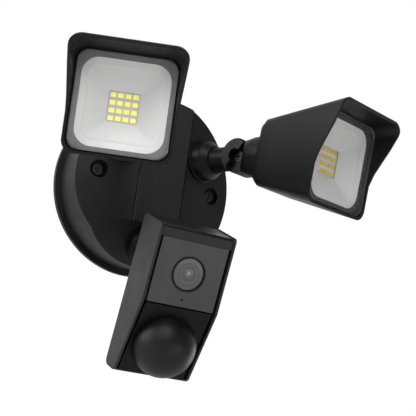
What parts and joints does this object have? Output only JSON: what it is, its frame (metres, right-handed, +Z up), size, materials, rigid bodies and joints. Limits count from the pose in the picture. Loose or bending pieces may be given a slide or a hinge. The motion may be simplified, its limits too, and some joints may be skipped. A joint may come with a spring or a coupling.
{
  "type": "floodlight security camera",
  "caption": "Wall-mounted floodlight with two swivelling hooded lamps and a tilting camera head that carries a domed motion sensor.",
  "frame": {"origin": "centre of the wall bracket's two slots, on its rear face, in the plane of the wall", "axes": "+Z up, +Y into the wall, +X to the right of someone who faces the wall"},
  "size_m": [0.2576, 0.2071, 0.2215],
  "materials": {
    "black_plastic": "fine matte texture",
    "band_plastic": "satin",
    "gray_plastic": "satin",
    "panel_plastic": "satin",
    "bezel_gloss": "gloss",
    "dome_plastic": "gloss",
    "clear_glass": "clear",
    "white_reflector": "satin",
    "led_yellow": "gloss",
    "sink_aluminium": "bare",
    "steel": "zinc plated",
    "seal_rubber": "matte",
    "board_green": "solder mask",
    "part_black": "matte",
    "core_steel": "varnished",
    "terminal_plastic": "satin"
  },
  "bodies": {
    "canopy": {"wall_gasket": "seal_rubber", "back_plate": "black_plastic", "wall_bracket": "steel", "base_housing": "black_plastic", "centre_panel": "band_plastic", "base_screws": "steel", "driver_board": "board_green", "driver_transformer": "core_steel", "driver_capacitors": "part_black", "terminal_block": "terminal_plastic", "cable_grommet": "seal_rubber", "socket_seals": "seal_rubber", "left_socket": "black_plastic", "right_socket": "black_plastic", "camera_socket": "black_plastic"},
    "left_stub": {"left_arm_stub": "black_plastic", "left_locknut": "black_plastic", "left_pivot_screw": "steel"},
    "right_stub": {"right_arm_stub": "black_plastic", "right_locknut": "black_plastic", "right_pivot_screw": "steel"},
    "camera_stub": {"camera_arm_stub": "black_plastic", "camera_locknut": "black_plastic", "camera_pivot_screw": "steel"},
    "left_lamp": {"left_knuckle": "black_plastic", "left_lamp_housing": "black_plastic", "left_lens_frame": "bezel_gloss", "left_lamp_glass": "clear_glass", "left_glass_gasket": "seal_rubber", "left_reflector": "white_reflector", "left_led_board": "sink_aluminium", "left_led_chips": "led_yellow", "left_heat_sink": "sink_aluminium"},
    "right_lamp": {"right_knuckle": "black_plastic", "right_lamp_housing": "black_plastic", "right_lens_frame": "bezel_gloss", "right_lamp_glass": "clear_glass", "right_glass_gasket": "seal_rubber", "right_reflector": "white_reflector", "right_led_board": "sink_aluminium", "right_led_chips": "led_yellow", "right_heat_sink": "sink_aluminium"},
    "camera_head": {"camera_knuckle": "gray_plastic", "camera_left_cover": "gray_plastic", "camera_right_cover": "gray_plastic", "camera_shell": "gray_plastic", "camera_front_panel": "panel_plastic", "camera_lower_panel": "panel_plastic", "pir_dome": "dome_plastic", "pir_collar": "panel_plastic", "pir_sensor": "core_steel", "lens_window": "clear_glass", "lens_ring": "panel_plastic", "lens_barrel": "part_black", "image_sensor_board": "board_green", "main_board": "board_green", "speaker": "part_black"},
    "button": {"reset_button": "seal_rubber"}
  },
  "joints": [
    {"name": "left_swivel", "type": "hinge", "parent": "canopy", "child": "left_stub", "pos_m": [-0.03481, -0.04797, 0.026], "axis": [-0.3907, -0.9205, 0], "range_deg": [-90, 90]},
    {"name": "left_tilt", "type": "hinge", "parent": "left_stub", "child": "left_lamp", "pos_m": [-0.05044, -0.08479, 0.026], "axis": [0.9205, -0.3907, 0.0087], "range_deg": [-30, 15]},
    {"name": "right_swivel", "type": "hinge", "parent": "canopy", "child": "right_stub", "pos_m": [0.03481, -0.04797, 0.026], "axis": [0.3907, -0.9205, 0], "range_deg": [-90, 90]},
    {"name": "right_tilt", "type": "hinge", "parent": "right_stub", "child": "right_lamp", "pos_m": [0.05044, -0.08479, 0.026], "axis": [0.92, 0.3905, 0.0332], "range_deg": [-30, 15]},
    {"name": "camera_swivel", "type": "hinge", "parent": "canopy", "child": "camera_stub", "pos_m": [0, -0.04105, -0.048], "axis": [0, -0.788, -0.6157], "range_deg": [-40, 40]},
    {"name": "camera_tilt", "type": "hinge", "parent": "camera_stub", "child": "camera_head", "pos_m": [0, -0.06753, -0.06869], "axis": [1, 0, 0], "range_deg": [-15, 25]},
    {"name": "reset_press", "type": "slide", "parent": "camera_head", "child": "button", "axis": [0, -0.2874, 0.9578], "range_m": [0, 0.0008], "stiffness_N_per_m": 600, "springref_m": -0.0006}
  ]
}
